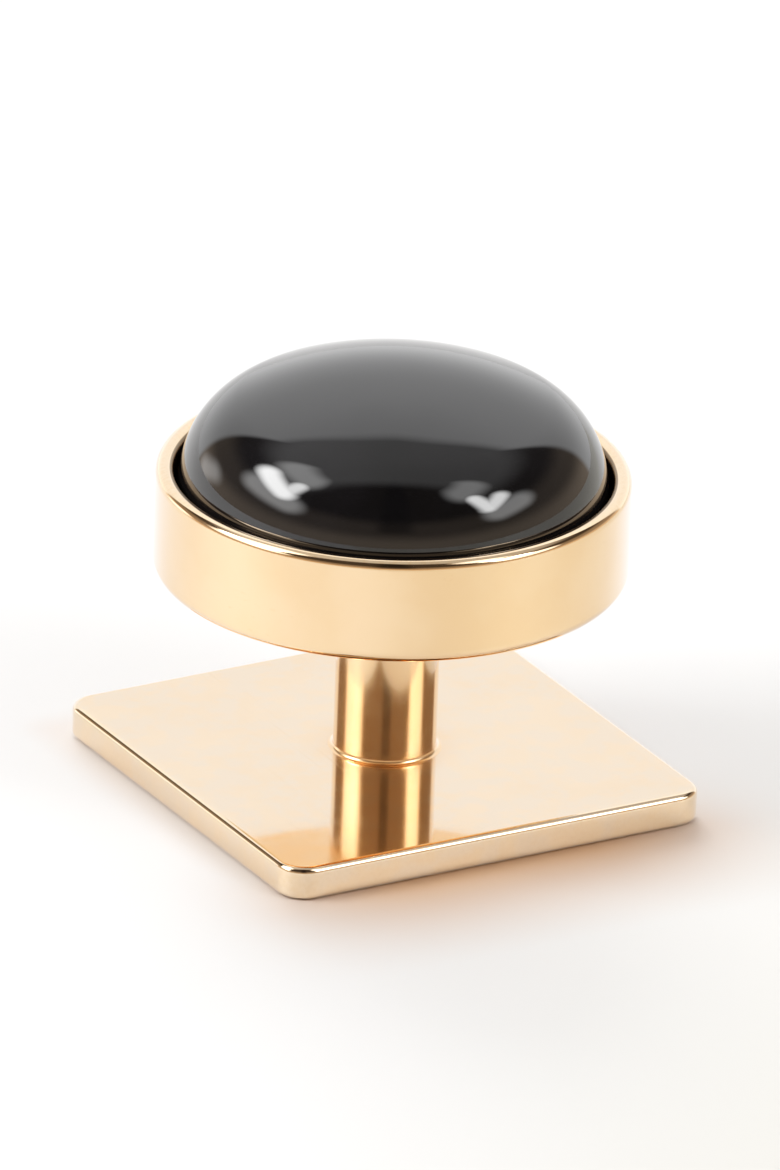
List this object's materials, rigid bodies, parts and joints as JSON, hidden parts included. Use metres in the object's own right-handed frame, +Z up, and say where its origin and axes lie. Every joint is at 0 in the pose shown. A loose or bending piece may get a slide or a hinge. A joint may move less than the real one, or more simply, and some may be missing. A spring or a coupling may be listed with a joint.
{
  "type": "shirt stud",
  "caption": "Round shirt stud: a domed black stone in a polished gold-coloured cup, on a short post with a square back plate.",
  "frame": {"origin": "middle of the back plate's underside, on the surface the stud stands on", "axes": "+Z up along the post, from the back plate to the top of the stone; the plate's sides run along X and Y"},
  "size_m": [0.011, 0.011, 0.0103],
  "materials": {
    "polished_gold": "high polish, warm yellow gold plating",
    "black_stone": "glassy polish"
  },
  "bodies": {
    "root": {"setting": "polished_gold", "cabochon": "black_stone"}
  },
  "joints": []
}
